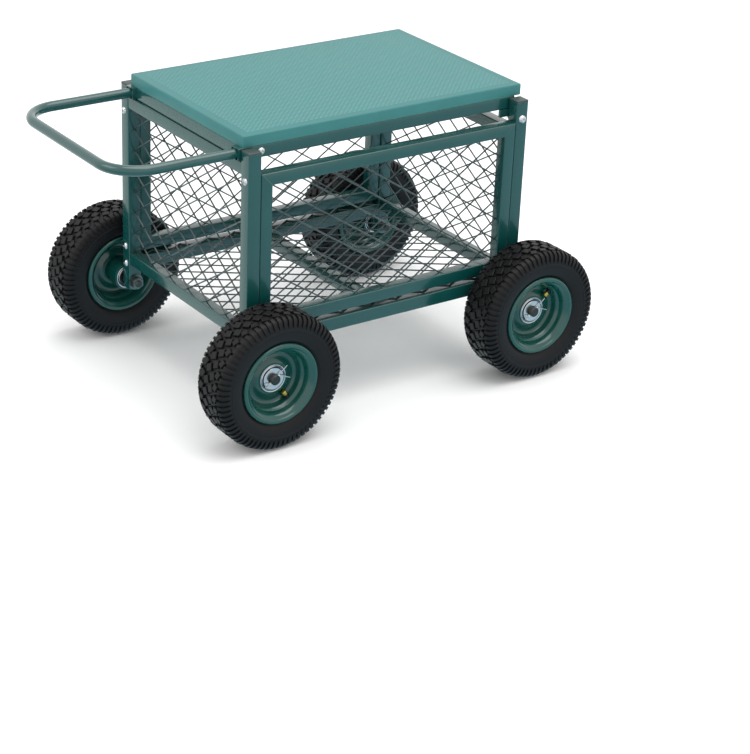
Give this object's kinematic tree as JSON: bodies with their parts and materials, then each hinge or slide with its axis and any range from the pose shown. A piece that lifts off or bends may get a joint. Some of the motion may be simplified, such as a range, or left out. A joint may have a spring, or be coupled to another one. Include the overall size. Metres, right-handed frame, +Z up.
{
  "type": "garden cart",
  "caption": "Wheeled garden cart with a diamond-mesh cargo box under a hinged seat lid, a bent-tube push handle on the lid and pneumatic tyres.",
  "frame": {"origin": "on the ground, below the middle of the whole cart, with its handle and tyres", "axes": "+X along the cart, from the handle (front) to the hinge (rear); +Y across, to the right of somebody who pulls the cart; +Z up"},
  "size_m": [0.821, 0.555, 0.467],
  "materials": {
    "frame_paint": "gloss bottle-green enamel",
    "mesh_paint": "satin dark green enamel",
    "seat_panel": "satin teal, embossed with a fine diamond texture",
    "seat_liner": "satin grey teal",
    "rim_paint": "gloss dark green enamel",
    "tyre": "matt black rubber with a block tread",
    "inner_tube": "matt",
    "bearing_steel": "ground steel",
    "axle_steel": "dark oiled steel",
    "zinc_hardware": "bright zinc plating",
    "cap_plastic": "moulded"
  },
  "bodies": {
    "chassis": {"stub_axles": "axle_steel", "axle_washers": "zinc_hardware", "cotter_pins": "zinc_hardware", "axle_nuts": "zinc_hardware", "front_left_post": "frame_paint", "front_right_post": "frame_paint", "rear_left_post": "frame_paint", "rear_right_post": "frame_paint", "post_caps": "cap_plastic", "front_top_rail": "frame_paint", "front_bottom_rail": "frame_paint", "rear_top_rail": "frame_paint", "rear_bottom_rail": "frame_paint", "front_mesh": "mesh_paint", "rear_mesh": "mesh_paint", "left_mesh": "mesh_paint", "right_mesh": "mesh_paint", "floor_mesh": "mesh_paint", "left_side_frame": "frame_paint", "right_side_frame": "frame_paint", "left_base_rail": "frame_paint", "right_base_rail": "frame_paint", "floor_crossbar": "frame_paint", "frame_bolts": "zinc_hardware", "frame_nuts": "zinc_hardware", "hinge_bolts": "zinc_hardware", "hinge_nuts": "zinc_hardware"},
    "lid": {"lid_left_rail": "frame_paint", "lid_right_rail": "frame_paint", "lid_crossbars": "frame_paint", "lid_panel": "seat_panel", "lid_liner": "seat_liner", "hinge_lugs": "frame_paint", "handle": "frame_paint", "handle_bolts": "zinc_hardware", "handle_nuts": "zinc_hardware"},
    "front_left_wheel": {"front_left_tyre": "tyre", "front_left_inner_tube": "inner_tube", "front_left_rim_outer": "rim_paint", "front_left_rim_inner": "rim_paint", "front_left_hub": "rim_paint", "front_left_bearings": "bearing_steel"},
    "front_right_wheel": {"front_right_tyre": "tyre", "front_right_inner_tube": "inner_tube", "front_right_rim_outer": "rim_paint", "front_right_rim_inner": "rim_paint", "front_right_hub": "rim_paint", "front_right_bearings": "bearing_steel"},
    "rear_left_wheel": {"rear_left_tyre": "tyre", "rear_left_inner_tube": "inner_tube", "rear_left_rim_outer": "rim_paint", "rear_left_rim_inner": "rim_paint", "rear_left_hub": "rim_paint", "rear_left_bearings": "bearing_steel"},
    "rear_right_wheel": {"rear_right_tyre": "tyre", "rear_right_inner_tube": "inner_tube", "rear_right_rim_outer": "rim_paint", "rear_right_rim_inner": "rim_paint", "rear_right_hub": "rim_paint", "rear_right_bearings": "bearing_steel"}
  },
  "joints": [
    {"name": "lid_hinge", "type": "hinge", "parent": "chassis", "child": "lid", "pos_m": [0.3005, 0, 0.4173], "axis": [0, 1, 0], "range_deg": [0, 120]},
    {"name": "front_left_spin", "type": "hinge", "parent": "chassis", "child": "front_left_wheel", "pos_m": [-0.1955, -0.24, 0.11], "axis": [0, 1, 0], "continuous": true},
    {"name": "front_right_spin", "type": "hinge", "parent": "chassis", "child": "front_right_wheel", "pos_m": [-0.1955, 0.24, 0.11], "axis": [0, 1, 0], "continuous": true},
    {"name": "rear_left_spin", "type": "hinge", "parent": "chassis", "child": "rear_left_wheel", "pos_m": [0.3005, -0.24, 0.11], "axis": [0, 1, 0], "continuous": true},
    {"name": "rear_right_spin", "type": "hinge", "parent": "chassis", "child": "rear_right_wheel", "pos_m": [0.3005, 0.24, 0.11], "axis": [0, 1, 0], "continuous": true}
  ]
}
